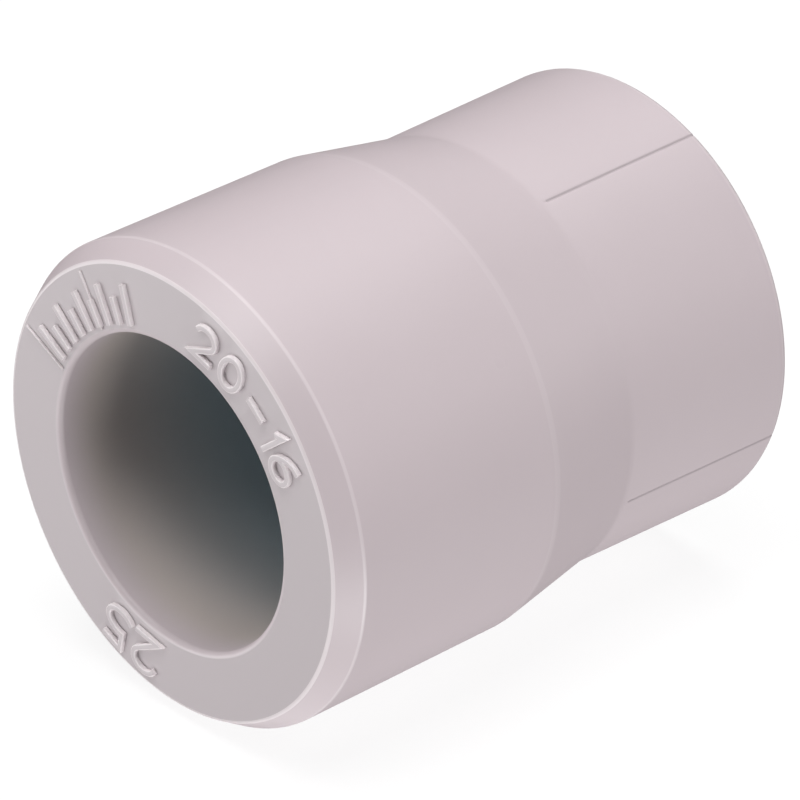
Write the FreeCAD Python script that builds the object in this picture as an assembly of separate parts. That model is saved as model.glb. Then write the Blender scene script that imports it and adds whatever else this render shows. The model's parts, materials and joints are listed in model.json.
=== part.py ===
import FreeCAD, Part
import math
import os

# A straight polypropylene pipe reducer: one injection moulding with a plain socket in each end,
# into which the heated ends of two pipes are fused. All sizes are in millimetres.
# Frame: +X runs along the pipe axis from the large end to the small end, +Z is up with the
# fitting lying on its side, and the origin is the centre of the large end's face.

# Outer body
overall_length = 35.7
large_body_radius = 14.75
large_body_draft = 0.05
large_chamfer_length = 1.55
large_chamfer_depth = 0.95
shoulder_start = 16.1
shoulder_length = 7.1
small_body_radius = 13.6
small_body_flare = 0.3

# Sockets for 20 mm and 16 mm pipe
large_socket_radius = 9.55
large_socket_depth = 15.0
small_socket_radius = 7.6
small_socket_depth = 13.5

# Waterway through the web between the two sockets
waterway_radius = 5.5

# Rounded edges of the moulding
face_edge_round = 0.25
chamfer_edge_round = 0.4
shoulder_round = 2.5
rim_round = 0.5
socket_lip_round = 0.35
socket_floor_round = 0.4

# Alignment grooves scribed along the small body, in degrees about +X from +Y
groove_angles = (19.0, 115.0, 199.0, 295.0)
groove_width = 0.2
groove_depth = 0.06

# Low round vestige of the injection gate, on the large body beside the shoulder
gate_angle = 146.0
gate_radius = 0.8
gate_height = 0.07
gate_edge_round = 0.05
gate_gap_to_shoulder = 2.2

# Raised marks on the large face: figures for the two nominal sizes, a figure for the pressure
# class, a scale of plain bars, and the fine witness lines of the insert that forms the scale.
# Where a mark starts and ends is a share of the face's width, from the socket's lip outwards.
mark_height = 0.25
mark_stroke = 0.38
figure_span = (0.2, 0.74)
class_figure_span = (0.16, 0.81)
long_bar_span = (0.06, 0.68)
short_bar_span = (0.06, 0.48)
figure_slimness = 0.74
witness_line_width = 0.12
witness_line_height = 0.12

# Each figure with its place, and the places of the bars and lines, in degrees as above
size_figures = (("2", 108.0), ("0", 119.5), ("-", 131.5), ("1", 141.5), ("6", 149.0))
class_figures = (("2", 281.0), ("5", 293.5))
first_bar_angle = 30.5
bar_pitch_angle = 5.5
bar_count = 9
witness_line_angles = (26.0, 58.0)

# How far a cutter passes a surface, and how deep a raised feature is rooted in the body
overlap = 0.3

face_radius = large_body_radius - large_chamfer_depth
lip_radius = large_socket_radius + socket_lip_round
neck_end = shoulder_start + shoulder_length


def on_axis_turn(x, radius, angle):
    """The point at x along the axis and a radius from it, at an angle about +X from +Y."""
    turn = math.radians(angle)
    return FreeCAD.Vector(x, radius * math.cos(turn), radius * math.sin(turn))


def rounded_outline(corners):
    """A closed wire in the XY plane through (x, radius, rounding) corners. Each corner becomes
    a tangent arc, which takes at most 0.45 of the shorter of its two runs."""
    points = [FreeCAD.Vector(x, radius, 0) for x, radius, rounding in corners]
    bends = []
    for i, corner in enumerate(points):
        back = points[i - 1] - corner
        ahead = points[(i + 1) % len(points)] - corner
        half_turn = (math.pi - back.getAngle(ahead)) / 2
        reach = min(corners[i][2] * math.tan(half_turn), 0.45 * min(back.Length, ahead.Length))
        start = corner + back.normalize() * reach
        end = corner + ahead.normalize() * reach
        to_centre = (back + ahead).normalize()
        middle = corner + to_centre * (reach * (1 / math.sin(half_turn) - 1 / math.tan(half_turn)))
        bends.append((start, middle, end))
    edges = []
    for bend, following in zip(bends, bends[1:] + bends[:1]):
        edges.append(Part.Arc(*bend).toShape())
        edges.append(Part.LineSegment(bend[2], following[0]).toShape())
    return Part.Wire(edges)


def turned_body():
    """The turned shape: chamfered body, shoulder, narrower body, both sockets and the waterway."""
    small_socket_floor = overall_length - small_socket_depth
    outline = rounded_outline([
        (0, large_socket_radius, socket_lip_round),
        (0, face_radius, face_edge_round),
        (large_chamfer_length, large_body_radius, chamfer_edge_round),
        (shoulder_start, large_body_radius + large_body_draft, shoulder_round),
        (neck_end, small_body_radius, shoulder_round),
        (overall_length, small_body_radius + small_body_flare, rim_round),
        (overall_length, small_socket_radius, socket_lip_round),
        (small_socket_floor, small_socket_radius, socket_floor_round),
        (small_socket_floor, waterway_radius, socket_floor_round),
        (large_socket_depth, waterway_radius, socket_floor_round),
        (large_socket_depth, large_socket_radius, socket_floor_round),
    ])
    return Part.Face(outline).revolve(FreeCAD.Vector(0, 0, 0), FreeCAD.Vector(1, 0, 0), 360)


def alignment_groove(angle):
    """A V-shaped prism that cuts one groove, from the neck out through the small end's rim."""
    ends = []
    for x, surface in ((neck_end, small_body_radius),
                       (overall_length + overlap, small_body_radius + small_body_flare)):
        half_width = groove_width / 2 * (groove_depth + overlap) / groove_depth
        spread = math.degrees(half_width / (surface + overlap))
        floor = on_axis_turn(x, surface - groove_depth, angle)
        sides = [on_axis_turn(x, surface + overlap, angle + side * spread) for side in (-1, 1)]
        ends.append(Part.makePolygon([floor] + sides + [floor]))
    return Part.makeLoft(ends, True, True)


def gate_vestige():
    """A low button left by the injection gate, rounded at its rim."""
    outwards = on_axis_turn(0, 1, gate_angle)
    foot = on_axis_turn(shoulder_start - gate_gap_to_shoulder, large_body_radius - overlap, gate_angle)
    button = Part.makeCylinder(gate_radius, overlap + gate_height, foot, outwards)
    rim = max(button.Edges, key=lambda edge: edge.CenterOfMass.dot(outwards))
    return button.makeFillet(gate_edge_round, [rim])


def curved_stroke(centre, width, height, start, end, count):
    """Points along a part of an ellipse, from one angle to another in degrees."""
    points = []
    for i in range(count + 1):
        turn = math.radians(start + (end - start) * i / count)
        points.append((centre[0] + width / 2 * math.cos(turn), centre[1] + height / 2 * math.sin(turn)))
    return points


def figure_strokes(figure, height):
    """The strokes of a plain figure as runs of (across, up) points, centred across, foot on 0."""
    width = figure_slimness * height
    side = width / 2
    bowl = 0.6 * height
    if figure == "0":
        return [curved_stroke((0, height / 2), width, height, 0, 360, 24)]
    if figure == "1":
        return [[(-side / 2, 0.78 * height), (0, height), (0, 0)]]
    if figure == "2":
        top = curved_stroke((0, height - bowl / 2), width, bowl, 160, -35, 10)
        return [top + [(-side, 0), (side, 0)]]
    if figure == "5":
        belly = curved_stroke((-0.1 * width, bowl / 2), 1.2 * width, bowl, 110, -140, 14)
        return [[(0.85 * side, height), (-0.8 * side, height)] + belly]
    if figure == "6":
        stem = curved_stroke((side, bowl / 2), 2 * width, 2 * height - bowl, 180, 100, 8)
        return [curved_stroke((0, bowl / 2), width, bowl, 0, 360, 18), stem]
    return [[(-side, height / 2), (side, height / 2)]]


def raised_stroke(points, stroke, height):
    """A round-ended stroke through (across, up) points, raised from the large face."""
    rise = FreeCAD.Vector(-1, 0, 0)
    placed = [FreeCAD.Vector(overlap, -across, up) for across, up in points]
    solids = [Part.makeCylinder(stroke / 2, overlap + height, point, rise) for point in placed]
    for start, end in zip(placed, placed[1:]):
        side = rise.cross(end - start).normalize() * (stroke / 2)
        outline = Part.makePolygon([start + side, end + side, end - side, start - side, start + side])
        solids.append(Part.Face(outline).extrude(rise * (overlap + height)))
    return solids


def face_mark(strokes, foot_radius, angle, stroke, height):
    """One mark made of strokes, its foot towards the socket and its head towards the rim."""
    solids = []
    for run in strokes:
        solids += raised_stroke([(across, foot_radius + up) for across, up in run], stroke, height)
    mark = solids[0].fuse(solids[1:]).removeSplitter()
    mark.rotate(FreeCAD.Vector(0, 0, 0), FreeCAD.Vector(1, 0, 0), angle - 90)
    return mark


def face_marks():
    """Every raised mark on the large face."""
    face_width = face_radius - lip_radius
    marks = []
    for figures, span in ((size_figures, figure_span), (class_figures, class_figure_span)):
        foot = lip_radius + span[0] * face_width
        height = (span[1] - span[0]) * face_width
        for figure, angle in figures:
            marks.append(face_mark(figure_strokes(figure, height), foot, angle, mark_stroke, mark_height))
    for i in range(bar_count):
        span = short_bar_span if i % 2 else long_bar_span
        bar = [[(0, span[0] * face_width), (0, span[1] * face_width)]]
        angle = first_bar_angle + i * bar_pitch_angle
        marks.append(face_mark(bar, lip_radius, angle, mark_stroke, mark_height))
    line = [[(0, 0), (0, face_width - face_edge_round)]]
    for angle in witness_line_angles:
        marks.append(face_mark(line, lip_radius, angle, witness_line_width, witness_line_height))
    return marks


def reducer_body():
    """The whole moulding as one solid."""
    body = turned_body().cut([alignment_groove(angle) for angle in groove_angles])
    body = body.fuse([gate_vestige()] + face_marks()).removeSplitter()
    return body.Solids[0] if len(body.Solids) == 1 else body


os.makedirs("parts", exist_ok=True)
body = reducer_body()
body.exportStep("parts/reducer_body.step")
print("reducer_body:", len(body.Solids), "solid, valid", body.isValid(), "volume", round(body.Volume, 1))
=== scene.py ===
import json
import math

import bmesh
import bpy
from mathutils import Matrix, Vector


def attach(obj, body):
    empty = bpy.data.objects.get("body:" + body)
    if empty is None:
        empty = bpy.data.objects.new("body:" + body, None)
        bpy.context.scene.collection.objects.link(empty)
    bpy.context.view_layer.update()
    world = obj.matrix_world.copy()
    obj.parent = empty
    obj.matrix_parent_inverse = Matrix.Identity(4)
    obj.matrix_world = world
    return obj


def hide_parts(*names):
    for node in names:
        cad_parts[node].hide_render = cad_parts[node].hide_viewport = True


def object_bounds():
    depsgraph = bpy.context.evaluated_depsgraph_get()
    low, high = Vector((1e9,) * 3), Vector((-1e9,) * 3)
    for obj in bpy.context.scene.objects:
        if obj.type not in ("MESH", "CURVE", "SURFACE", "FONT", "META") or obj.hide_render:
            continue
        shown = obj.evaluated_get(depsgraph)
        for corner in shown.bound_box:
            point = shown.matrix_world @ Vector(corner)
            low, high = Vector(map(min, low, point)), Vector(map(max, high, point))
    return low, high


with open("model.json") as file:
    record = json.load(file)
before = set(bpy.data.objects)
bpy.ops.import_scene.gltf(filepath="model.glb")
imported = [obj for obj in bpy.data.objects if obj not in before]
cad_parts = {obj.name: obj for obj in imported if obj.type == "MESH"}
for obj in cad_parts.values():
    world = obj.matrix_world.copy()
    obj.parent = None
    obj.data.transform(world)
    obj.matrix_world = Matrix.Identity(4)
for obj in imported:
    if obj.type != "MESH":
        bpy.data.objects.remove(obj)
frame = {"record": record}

cadLow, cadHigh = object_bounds()
print("frame loaded, box", [round(1000 * v, 2) for v in (*cadLow, *cadHigh)], "mm")

mm = 0.001
mounts = {mount["name"]: mount for mount in frame["record"]["mounts"]}
axisX = Vector((1, 0, 0))


def around(x, radius, angle):
    # a place at x along the pipe axis, angle in degrees about it from +Y towards +Z
    turn = math.radians(angle)
    return Vector((x, radius * math.cos(turn), radius * math.sin(turn)))


def towards(azimuth, elevation):
    # a direction from compass degrees, counted from -Y towards +X, and the height above the floor
    a, e = math.radians(azimuth), math.radians(elevation)
    return Vector((math.sin(a) * math.cos(e), -math.cos(a) * math.cos(e), math.sin(e)))


def uprightTurn(away):
    # the turn that points an object's own Z along away and keeps its X level
    level = Vector((0, 0, 1)).cross(away).normalized()
    return Matrix((level, away.cross(level), away)).transposed().to_quaternion()


def keepObject(name, mesh):
    piece = bpy.data.objects.new(name, mesh)
    bpy.context.scene.collection.objects.link(piece)
    return piece


def meshFrom(bm, name):
    mesh = bpy.data.meshes.new(name)
    bm.to_mesh(mesh)
    bm.free()
    return mesh


def applyModifiers(piece):
    # the piece keeps the shape its modifiers give it, and none stays live
    bpy.context.view_layer.update()
    graph = bpy.context.evaluated_depsgraph_get()
    finished = bpy.data.meshes.new_from_object(piece.evaluated_get(graph))
    piece.modifiers.clear()
    piece.data = finished


# millimetres; the length, largest radius and both sockets come from the frame
moulding = {
    "faceRadius": 13.8,
    "chamferLength": 1.55,
    "bodyRadius": 14.75,
    "shoulderStart": 16.1,
    "shoulderLength": 7.1,
    "neckRadius": 13.6,
    "rimRadius": 13.9,
    "socketDepth": 15.0,
    "smallSocketDepth": 13.5,
    "waterwayRadius": 5.5,
    "lipRound": 0.35,
    "shoulderRound": 2.5,
    "floorRound": 0.4,
    "turnSteps": 288,
    "grooveAngles": (19.0, 115.0, 199.0, 295.0),
    "grooveWidth": 0.2,
    "grooveDepth": 0.06,
    "grooveRunIn": 0.5,
    "gateAngle": 146.0,
    "gateRadius": 0.8,
    "gateHeight": 0.07,
    "gateFlatness": 0.35,
    "gateFromShoulder": 2.2,
}
length = cadHigh.x
shoulderRadius = cadHigh.z
socketRadius = mounts["large_socket"]["dims"]["r_mm"] * mm
smallSocketRadius = mounts["small_socket"]["dims"]["r_mm"] * mm
neckX = (moulding["shoulderStart"] + moulding["shoulderLength"]) * mm


def bodyCorners():
    # corners of the half section as (x, radius, rounding, segments, share of the painted edge highlight)
    part = moulding
    smallFloor = length - part["smallSocketDepth"] * mm
    return [
        (0, socketRadius, part["lipRound"], 5, 0.15),
        (0, part["faceRadius"] * mm, 0.25, 4, 0.7),
        (part["chamferLength"] * mm, part["bodyRadius"] * mm, 0.4, 3, 0.25),
        (part["shoulderStart"] * mm, shoulderRadius, part["shoulderRound"], 4, 0.1),
        (neckX, part["neckRadius"] * mm, part["shoulderRound"], 4, 0),
        (length, part["rimRadius"] * mm, 0.5, 5, 0.15),
        (length, smallSocketRadius, part["lipRound"], 4, 0.15),
        (smallFloor, smallSocketRadius, part["floorRound"], 3, 0),
        (smallFloor, part["waterwayRadius"] * mm, part["floorRound"], 3, 0),
        (part["socketDepth"] * mm, part["waterwayRadius"] * mm, part["floorRound"], 3, 0),
        (part["socketDepth"] * mm, socketRadius, part["floorRound"], 3, 0),
    ]


def turnedBody():
    # the half section is turned once round the pipe axis, then its corners are rounded
    corners = bodyCorners()
    bm = bmesh.new()
    ring = [bm.verts.new((x, 0, radius)) for x, radius, *rest in corners]
    for i, vert in enumerate(ring):
        bm.edges.new((vert, ring[(i + 1) % len(ring)]))
    bmesh.ops.spin(bm, geom=bm.verts[:] + bm.edges[:], cent=(0, 0, 0), axis=axisX, dvec=(0, 0, 0),
                   angle=math.tau, steps=moulding["turnSteps"], space=Matrix.Identity(4), use_merge=True,
                   use_normal_flip=False, use_duplicate=False)
    bmesh.ops.recalc_face_normals(bm, faces=bm.faces[:])
    for i in range(len(corners)):
        roundRing(bm, corners, i)
    return bm


def tangentLength(corners, i):
    # how far from its corner an arc of the corner's rounding starts
    x, radius, rounding, *rest = corners[i]
    before = Vector(corners[i - 1][:2]) - Vector((x, radius))
    after = Vector(corners[(i + 1) % len(corners)][:2]) - Vector((x, radius))
    return rounding * mm * math.tan((math.pi - before.angle(after)) / 2)


def roundRing(bm, corners, i):
    x, radius, rounding, segments, share = corners[i]

    def onRing(vert):
        return abs(vert.co.x - x) < 1e-6 and abs(vert.co.yz.length - radius) < 1e-6

    edges = [edge for edge in bm.edges if onRing(edge.verts[0]) and onRing(edge.verts[1])]
    bmesh.ops.bevel(bm, geom=edges, offset=tangentLength(corners, i), offset_type="OFFSET",
                    segments=segments, profile=0.5, affect="EDGES", clamp_overlap=True, material=-1)


def shadeShares(mesh):
    # the corners and the sides of the marks get a painted highlight, and the faces in the scribed grooves get
    # a painted shade
    corners = bodyCorners()
    reach = [1.05 * tangentLength(corners, i) for i in range(len(corners))]
    highlightShare = mesh.attributes.new("paintedEdgeHighlight", "FLOAT", "FACE")
    grooveShadeShare = mesh.attributes.new("paintedGrooveShade", "FLOAT", "FACE")
    grooves = [around(0, 1, angle) for angle in moulding["grooveAngles"]]
    for face, highlightValue, grooveShadeValue in zip(mesh.polygons, highlightShare.data, grooveShadeShare.data):
        place = Vector((face.center.x, face.center.yz.length))
        if place.x < -0.02 * mm:
            # painted highlight: the sides of the face marks fully, their tops a quarter
            highlightValue.value = 1.0 if abs(face.normal.x) < 0.98 else 0.25
            continue
        near = [corner[4] for corner, far in zip(corners, reach) if (place - Vector(corner[:2])).length < far]
        highlightValue.value = max(near, default=0.0)
        onNeck = place.x > neckX + moulding["grooveRunIn"] * mm and place.y > smallSocketRadius + 2 * mm
        onNeck = onNeck and abs(face.normal.x) < 0.5
        off = min((face.center - g * face.center.dot(g)).yz.length for g in grooves)
        # painted shade: the faces inside each groove's V are flagged for a deeper tone
        grooveShadeValue.value = float(onNeck and off < 0.45 * moulding["grooveWidth"] * mm)


def scribeGroove(bm, angle):
    # three cuts along the small body, and the middle one is pushed in to leave a V
    part = moulding
    outwards = around(0, 1, angle)
    halfTurn = math.degrees(part["grooveWidth"] / 2 / part["neckRadius"])

    def nearFaces():
        return [face for face in bm.faces
                if face.calc_center_median().x > neckX
                and face.calc_center_median().yz.length > smallSocketRadius + 2 * mm
                and Vector((0, *face.calc_center_median().yz)).normalized().dot(outwards) > 0.99]

    def cut(point, normal):
        faces = nearFaces()
        edges = {edge for face in faces for edge in face.edges}
        verts = {vert for face in faces for vert in face.verts}
        bmesh.ops.bisect_plane(bm, geom=list(verts) + list(edges) + faces, dist=1e-7,
                               plane_co=point, plane_no=normal)

    cut((neckX + part["grooveRunIn"] * mm, 0, 0), axisX)
    for turn in (-halfTurn, 0, halfTurn):
        cut((0, 0, 0), axisX.cross(around(0, 1, angle + turn)))
    across = axisX.cross(outwards)
    for vert in bm.verts:
        inRun = vert.co.x > neckX + 0.9 * part["grooveRunIn"] * mm
        onLine = abs(vert.co.dot(across)) < 1e-6 and vert.co.dot(outwards) > smallSocketRadius + 2 * mm
        if inRun and onLine and vert.co.yz.length > (part["neckRadius"] - 1) * mm:
            vert.co -= outwards * part["grooveDepth"] * mm


def gateButton():
    # a squashed ball sunk in the body leaves the low round scar of the gate
    part = moulding
    bm = bmesh.new()
    outwards = around(0, 1, part["gateAngle"])
    x = (part["shoulderStart"] - part["gateFromShoulder"]) * mm
    reach = part["gateRadius"] * mm
    bmesh.ops.create_uvsphere(bm, u_segments=48, v_segments=24, radius=reach)
    bmesh.ops.scale(bm, vec=(1, 1, part["gateFlatness"]), verts=bm.verts[:])
    bmesh.ops.transform(bm, matrix=outwards.to_track_quat("Z", "Y").to_matrix().to_4x4(), verts=bm.verts[:])
    sink = part["gateHeight"] * mm - part["gateFlatness"] * reach
    bmesh.ops.translate(bm, vec=around(x, part["bodyRadius"] * mm + sink, part["gateAngle"]),
                        verts=bm.verts[:])
    return bm


# millimetres and degrees; a span is a share of the face's width, from the socket's lip outwards
faceMarks = {
    "height": 0.25,
    "root": 0.2,
    "stroke": 0.38,
    "edgeRound": 0.07,
    "slimness": 0.74,
    "sizeFigures": (("2", 108.0), ("0", 119.5), ("-", 131.5), ("1", 141.5), ("6", 149.0)),
    "sizeSpan": (0.2, 0.74),
    "classFigures": (("2", 281.0), ("5", 293.5)),
    "classSpan": (0.16, 0.81),
    "firstBar": 30.5,
    "barPitch": 5.5,
    "barCount": 9,
    "longBar": (0.06, 0.68),
    "shortBar": (0.06, 0.48),
    "lineAngles": (26.0, 58.0),
    "lineWidth": 0.12,
    "lineHeight": 0.12,
    "lineEdgeRound": 0.04,
    "lineFromLip": 0.05,
    "lineToRim": 0.3,
}


def bend(centre, width, height, start, end, count):
    # points along a part of an ellipse
    turns = [math.radians(start + (end - start) * i / count) for i in range(count + 1)]
    return [(centre[0] + width / 2 * math.cos(t), centre[1] + height / 2 * math.sin(t)) for t in turns]


def figureRuns(figure, height):
    # each run of a plain figure is (points, closed), centred across and standing on 0
    width = faceMarks["slimness"] * height
    side = width / 2
    bowl = 0.6 * height
    if figure == "0":
        return [(bend((0, height / 2), width, height, 0, 360, 28)[:-1], True)]
    if figure == "1":
        return [([(-side / 2, 0.78 * height), (0, height), (0, 0)], False)]
    if figure == "2":
        top = bend((0, height - bowl / 2), width, bowl, 160, -35, 12)
        return [(top + [(-side, 0), (side, 0)], False)]
    if figure == "5":
        belly = bend((-0.1 * width, bowl / 2), 1.2 * width, bowl, 110, -140, 16)
        return [([(0.85 * side, height), (-0.8 * side, height)] + belly, False)]
    if figure == "6":
        stem = bend((side, bowl / 2), 2 * width, 2 * height - bowl, 100, 174, 9)
        return [(stem + bend((0, bowl / 2), width, bowl, 180, 530, 24), False)]
    return [([(-side, height / 2), (side, height / 2)], False)]


def strokeSection(width, height, edgeRound):
    # the section a stroke is swept with: round corners on top, and a root sunk in the face
    bm = bmesh.new()
    low, high = -faceMarks["root"] * mm, height * mm
    half = width / 2 * mm
    places = ((-half, low, 0), (half, low, 0), (half, high, 0), (-half, high, 0))
    corners = [bm.verts.new(place) for place in places]
    bm.faces.new(corners)
    bmesh.ops.bevel(bm, geom=corners[2:], offset=edgeRound * mm, segments=3, profile=0.5,
                    affect="VERTICES", material=-1)
    outline = [loop.vert.co.copy() for loop in bm.faces[:][0].loops]
    bm.free()
    section = bpy.data.curves.new("strokeSection", "CURVE")
    section.dimensions = "2D"
    spline = section.splines.new("POLY")
    spline.points.add(len(outline) - 1)
    for point, place in zip(spline.points, outline):
        point.co = (*place, 1)
    spline.use_cyclic_u = True
    return keepObject("strokeSection", section)


def sweptMark(runs, foot, angle, section):
    # the strokes are swept in a flat plane, then stood on the face with their heads to the rim
    path = bpy.data.curves.new("markPath", "CURVE")
    path.dimensions = "2D"
    path.fill_mode = "NONE"
    path.bevel_mode = "OBJECT"
    path.bevel_object = section
    path.use_fill_caps = True
    for points, closed in runs:
        spline = path.splines.new("POLY")
        spline.points.add(len(points) - 1)
        for point, (across, up) in zip(spline.points, points):
            point.co = (across, up, 0, 1)
        spline.use_cyclic_u = closed
    carrier = keepObject("markPath", path)
    bpy.context.view_layer.update()
    graph = bpy.context.evaluated_depsgraph_get()
    mesh = bpy.data.meshes.new_from_object(carrier.evaluated_get(graph))
    bpy.data.objects.remove(carrier)
    outwards = around(0, 1, angle)
    across = axisX.cross(outwards)
    stand = Matrix((across, outwards, -axisX)).transposed().to_4x4()
    mesh.transform(Matrix.Translation(outwards * foot) @ stand)
    return mesh


def markMeshes():
    part = faceMarks
    lip = socketRadius + moulding["lipRound"] * mm
    width = moulding["faceRadius"] * mm - lip
    section = strokeSection(part["stroke"], part["height"], part["edgeRound"])
    fine = strokeSection(part["lineWidth"], part["lineHeight"], part["lineEdgeRound"])
    meshes = []
    for figures, span in ((part["sizeFigures"], part["sizeSpan"]), (part["classFigures"], part["classSpan"])):
        for figure, angle in figures:
            runs = figureRuns(figure, (span[1] - span[0]) * width)
            meshes.append(sweptMark(runs, lip + span[0] * width, angle, section))
    for i in range(part["barCount"]):
        start, end = part["shortBar"] if i % 2 else part["longBar"]
        bar = [([(0, start * width), (0, end * width)], False)]
        meshes.append(sweptMark(bar, lip, part["firstBar"] + i * part["barPitch"], section))
    for angle in part["lineAngles"]:
        line = [([(0, part["lineFromLip"] * mm), (0, width - part["lineToRim"] * mm)], False)]
        meshes.append(sweptMark(line, lip, angle, fine))
    bpy.data.objects.remove(section)
    bpy.data.objects.remove(fine)
    return meshes


def closedCopy(mesh, name):
    # a swept stroke's caps are loose from its sides until their doubles are merged
    bm = bmesh.new()
    bm.from_mesh(mesh)
    bmesh.ops.remove_doubles(bm, verts=bm.verts[:], dist=1e-6)
    bmesh.ops.recalc_face_normals(bm, faces=bm.faces[:])
    return keepObject(name, meshFrom(bm, name))


def addTo(piece, others, crossing=False):
    # crossing is for strokes that run over themselves
    for other in others:
        union = piece.modifiers.new("union", "BOOLEAN")
        union.operation = "UNION"
        union.solver = "EXACT"
        union.object = other
        union.use_self = crossing
        applyModifiers(piece)
        bpy.data.objects.remove(other)


def buildMoulding():
    bm = turnedBody()
    for angle in moulding["grooveAngles"]:
        scribeGroove(bm, angle)
    piece = keepObject("moulded_reducer", meshFrom(bm, "moulded_reducer"))
    print("turned body", len(piece.data.polygons), "faces")
    marks, *rest = [closedCopy(mesh, "mark") for mesh in markMeshes()]
    addTo(marks, rest, crossing=True)
    gate = keepObject("gate", meshFrom(gateButton(), "gate"))
    addTo(piece, [gate, marks])
    bm = bmesh.new()
    bm.from_mesh(piece.data)
    bmesh.ops.remove_doubles(bm, verts=bm.verts[:], dist=1e-7)
    openEdges = [edge for edge in bm.edges if len(edge.link_faces) != 2]
    bm.to_mesh(piece.data)
    bm.free()
    piece.data.shade_smooth()
    piece.data.set_sharp_from_angle(angle=math.radians(32))
    weighted = piece.modifiers.new("evenNormals", "WEIGHTED_NORMAL")
    weighted.mode = "FACE_AREA"
    weighted.weight = 50
    weighted.keep_sharp = True
    shadeShares(piece.data)
    print("moulding", len(piece.data.polygons), "faces,", len(openEdges), "open or doubled edges")
    return piece


reducer = buildMoulding()
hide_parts("reducer_body")
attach(reducer, "root")


def linear(hexColour):
    # an sRGB hex value as the linear colour that the shader takes
    values = [int(hexColour[i:i + 2], 16) / 255 for i in (1, 3, 5)]
    return [*((v / 12.92 if v <= 0.04045 else ((v + 0.055) / 1.055) ** 2.4) for v in values), 1]


def node(material, kind, inputs=None, links=None, **settings):
    # adds one node; inputs are values by socket, links are (from node, its output) by socket
    made = material.node_tree.nodes.new(kind)
    for name, value in settings.items():
        setattr(made, name, value)
    for socket, value in (inputs or {}).items():
        made.inputs[socket].default_value = value
    for socket, (source, output) in (links or {}).items():
        material.node_tree.links.new(source.outputs[output], made.inputs[socket])
    return made


def colourMix(material, first, second, factor):
    # each of the two colours is a hex value or (node, output)
    mix = node(material, "ShaderNodeMix", data_type="RGBA")
    for socket, colour in (("A", first), ("B", second)):
        if isinstance(colour, str):
            mix.inputs[socket].default_value = linear(colour)
        else:
            material.node_tree.links.new(colour[0].outputs[colour[1]], mix.inputs[socket])
    material.node_tree.links.new(factor[0].outputs[factor[1]], mix.inputs["Factor"])
    return mix


# random copolymer polypropylene, injection moulded in a spark-eroded tool: a soft satin grey with
# faint clouds from the flow of the melt; sizes are in millimetres, and the tool's grain is nearer
# 0.05 mm, drawn coarser so that it shows
polypropylene = {
    "colour": "#C9BDC1",
    "cloudColour": "#C5B9BD",
    "cloudSize": 9.0,
    # a painted highlight on corners and the sides of the marks
    "paintedHighlightColour": "#E8E0E2",
    # a painted shade in the scribed grooves
    "paintedGrooveShadeColour": "#B5AAAE",
    # a painted shade on the large end face, deeper and greyer
    "paintedFaceShadeColour": "#C0B7BA",
    # painted shade on the bore's inner walls, and a deeper, bluer painted shade far down the bore
    "paintedBoreShadeColour": "#C4BAB5",
    "paintedDeepShadeColour": "#A6B4BA",
    "boreShadeDepth": 3.0,
    "deepShadeStart": 2.0,
    "deepShadeDepth": 14.0,
    "roughness": 0.42,
    "ior": 1.49,
    "grainSize": 0.22,
    "grainHeight": 0.006,
}


def depthShares(material, place):
    # how much a place lies on the large face, on the inner walls, and deep down the bore; the face and bore
    # shares carry painted shade
    apart = node(material, "ShaderNodeSeparateXYZ", {}, {"Vector": (place, "Object")})
    flat = node(material, "ShaderNodeVectorMath", {1: (0, 1, 1)}, {0: (place, "Object")},
                operation="MULTIPLY")
    radius = node(material, "ShaderNodeVectorMath", {}, {0: (flat, "Vector")}, operation="LENGTH")
    wall = {"From Min": socketRadius + 0.2 * mm, "From Max": socketRadius}
    inner = node(material, "ShaderNodeMapRange", wall, {"Value": (radius, "Value")})
    other = node(material, "ShaderNodeMath", {0: length}, {1: (apart, "X")}, operation="SUBTRACT")
    depth = node(material, "ShaderNodeMath", {}, {0: (apart, "X"), 1: (other, "Value")}, operation="MINIMUM")
    shares = [node(material, "ShaderNodeMapRange", {"From Min": 0.02 * mm, "From Max": 0.0},
                   {"Value": (apart, "X")})]
    for first, last in ((0, "boreShadeDepth"), (polypropylene["deepShadeStart"], "deepShadeDepth")):
        along = node(material, "ShaderNodeMapRange",
                     {"From Min": first * mm, "From Max": polypropylene[last] * mm},
                     {"Value": (depth, "Value")}, interpolation_type="SMOOTHSTEP")
        shares.append(node(material, "ShaderNodeMath", {}, {0: (inner, "Result"), 1: (along, "Result")},
                           operation="MULTIPLY"))
    return shares


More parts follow.
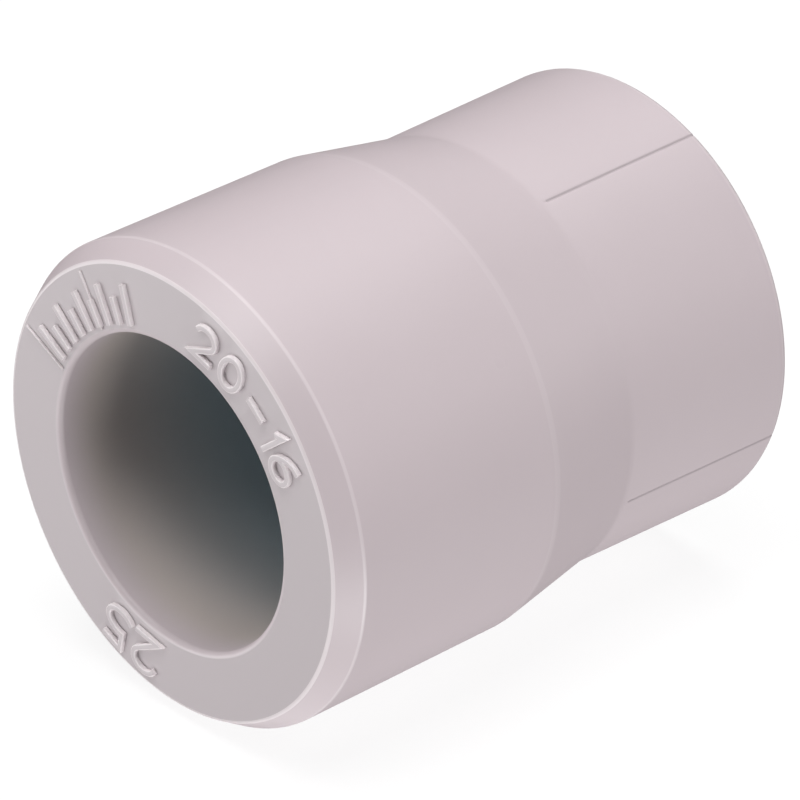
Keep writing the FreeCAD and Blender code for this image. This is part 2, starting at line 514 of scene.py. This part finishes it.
def mouldedPolypropylene():
    made = bpy.data.materials.new("moulded polypropylene")
    made.use_nodes = True
    shader = made.node_tree.nodes["Principled BSDF"]
    shader.inputs["Roughness"].default_value = polypropylene["roughness"]
    shader.inputs["IOR"].default_value = polypropylene["ior"]
    place = node(made, "ShaderNodeTexCoord")
    cloud = node(made, "ShaderNodeTexNoise", {"Scale": 1 / (polypropylene["cloudSize"] * mm), "Detail": 3.0},
                 {"Vector": (place, "Object")})
    body = colourMix(made, polypropylene["colour"], polypropylene["cloudColour"], (cloud, "Fac"))
    onFace, inside, deep = depthShares(made, place)
    # painted shade: the large end face is mixed towards a deeper, greyer tone
    faceShaded = colourMix(made, (body, "Result"), polypropylene["paintedFaceShadeColour"], (onFace, "Result"))
    # painted highlight: corners and the sides of the marks are mixed towards a near white
    highlightShare = node(made, "ShaderNodeAttribute", attribute_name="paintedEdgeHighlight")
    edgeHighlighted = colourMix(made, (faceShaded, "Result"), polypropylene["paintedHighlightColour"], (highlightShare, "Fac"))
    # painted shade: the scribed grooves are mixed towards a duller, deeper grey
    grooveShadeShare = node(made, "ShaderNodeAttribute", attribute_name="paintedGrooveShade")
    grooveShaded = colourMix(made, (edgeHighlighted, "Result"), polypropylene["paintedGrooveShadeColour"], (grooveShadeShare, "Fac"))
    # painted shade: the inner walls of the bore are mixed towards a deeper, warmer tone
    boreShaded = colourMix(made, (grooveShaded, "Result"), polypropylene["paintedBoreShadeColour"], (inside, "Value"))
    # painted shade: far down the bore the walls are mixed towards a deeper, bluer tone
    colour = colourMix(made, (boreShaded, "Result"), polypropylene["paintedDeepShadeColour"], (deep, "Value"))
    made.node_tree.links.new(colour.outputs["Result"], shader.inputs["Base Color"])
    grain = node(made, "ShaderNodeTexNoise", {"Scale": 1 / (polypropylene["grainSize"] * mm), "Detail": 2.0},
                 {"Vector": (place, "Object")})
    relief = node(made, "ShaderNodeBump", {"Strength": 0.25, "Distance": polypropylene["grainHeight"] * mm},
                  {"Height": (grain, "Fac")})
    made.node_tree.links.new(relief.outputs["Normal"], shader.inputs["Normal"])
    return made


reducer.data.materials.clear()
reducer.data.materials.append(mouldedPolypropylene())
print("material made:", reducer.data.materials[0].name)


studio = {
    "floorColour": "#707070",
    "floorGlow": 0.86,
    "floorSize": 3.0,
    "boxDistance": 0.6,
}

# each softbox is (azimuth, elevation, width, height, glow), in degrees, metres and radiance
softboxes = {
    "topBox": (0, 89.9, 0.56, 0.56, 4.15),
    "frontBox": (0, 37, 0.39, 0.27, 2.35),
    "endBox": (270, 62, 0.22, 0.27, 4.19),
    "lowFrontBox": (0, -38, 0.38, 0.27, 8.9),
    "lowEndBox": (270, -38, 0.38, 0.27, 4.5),
    "lowRearBox": (225, -13, 0.48, 0.27, 4.9),
    "farBox": (80, 8, 0.48, 0.27, 0.9),
    "underBox": (0, -89.9, 0.56, 0.56, 1.0),
}


def paleFloor():
    # a clear light table: it shows, but the low softboxes reach the fitting through it
    bm = bmesh.new()
    bmesh.ops.create_grid(bm, x_segments=1, y_segments=1, size=studio["floorSize"] / 2)
    bmesh.ops.translate(bm, vec=(length / 2, 0, cadLow.z), verts=bm.verts[:])
    floor = keepObject("floor", meshFrom(bm, "floor"))
    made = bpy.data.materials.new("pale floor")
    made.use_nodes = True
    shader = made.node_tree.nodes["Principled BSDF"]
    shader.inputs["Base Color"].default_value = linear(studio["floorColour"])
    shader.inputs["Roughness"].default_value = 0.9
    shader.inputs["Specular IOR Level"].default_value = 0
    shader.inputs["Emission Color"].default_value = (1, 1, 1, 1)
    shader.inputs["Emission Strength"].default_value = studio["floorGlow"]
    floor.data.materials.append(made)
    floor.visible_diffuse = False
    floor.visible_glossy = False
    floor.visible_shadow = False


def softBox(name, azimuth, elevation, width, height, glow):
    # an upright rectangle of light that faces the fitting
    lamp = bpy.data.lights.new(name, "AREA")
    lamp.shape = "RECTANGLE"
    lamp.size = width
    lamp.size_y = height
    lamp.energy = math.pi * width * height * glow
    holder = bpy.data.objects.new(name, lamp)
    bpy.context.scene.collection.objects.link(holder)
    away = towards(azimuth, elevation)
    holder.location = Vector((length / 2, 0, 0)) + away * studio["boxDistance"]
    holder.rotation_mode = "QUATERNION"
    holder.rotation_quaternion = uprightTurn(away)


paleFloor()
for name, values in softboxes.items():
    softBox(name, *values)
print("floor and", len(softboxes), "softboxes placed")

world = bpy.data.worlds.new("studio")
world.use_nodes = True
world.node_tree.nodes["Background"].inputs["Color"].default_value = (1, 1, 1, 1)
world.cycles_visibility.diffuse = False
world.cycles_visibility.glossy = False
bpy.context.scene.world = world
bpy.context.scene.view_settings.view_transform = "Standard"

view = {
    "azimuth": -42.66,
    "elevation": 29.94,
    "distance": 299.1,
    "lens": 232.0,
    "aim": (17.4, -0.3, -0.55),
}
camera = bpy.data.cameras.new("camera")
camera.lens = view["lens"]
camera.sensor_width = 36
camera.clip_start = 0.01
camera.clip_end = 10
cameraObject = bpy.data.objects.new("camera", camera)
bpy.context.scene.collection.objects.link(cameraObject)
back = towards(view["azimuth"], view["elevation"])
cameraObject.location = (Vector(view["aim"]) + back * view["distance"]) * mm
cameraObject.rotation_mode = "QUATERNION"
cameraObject.rotation_quaternion = uprightTurn(back)
bpy.context.scene.camera = cameraObject
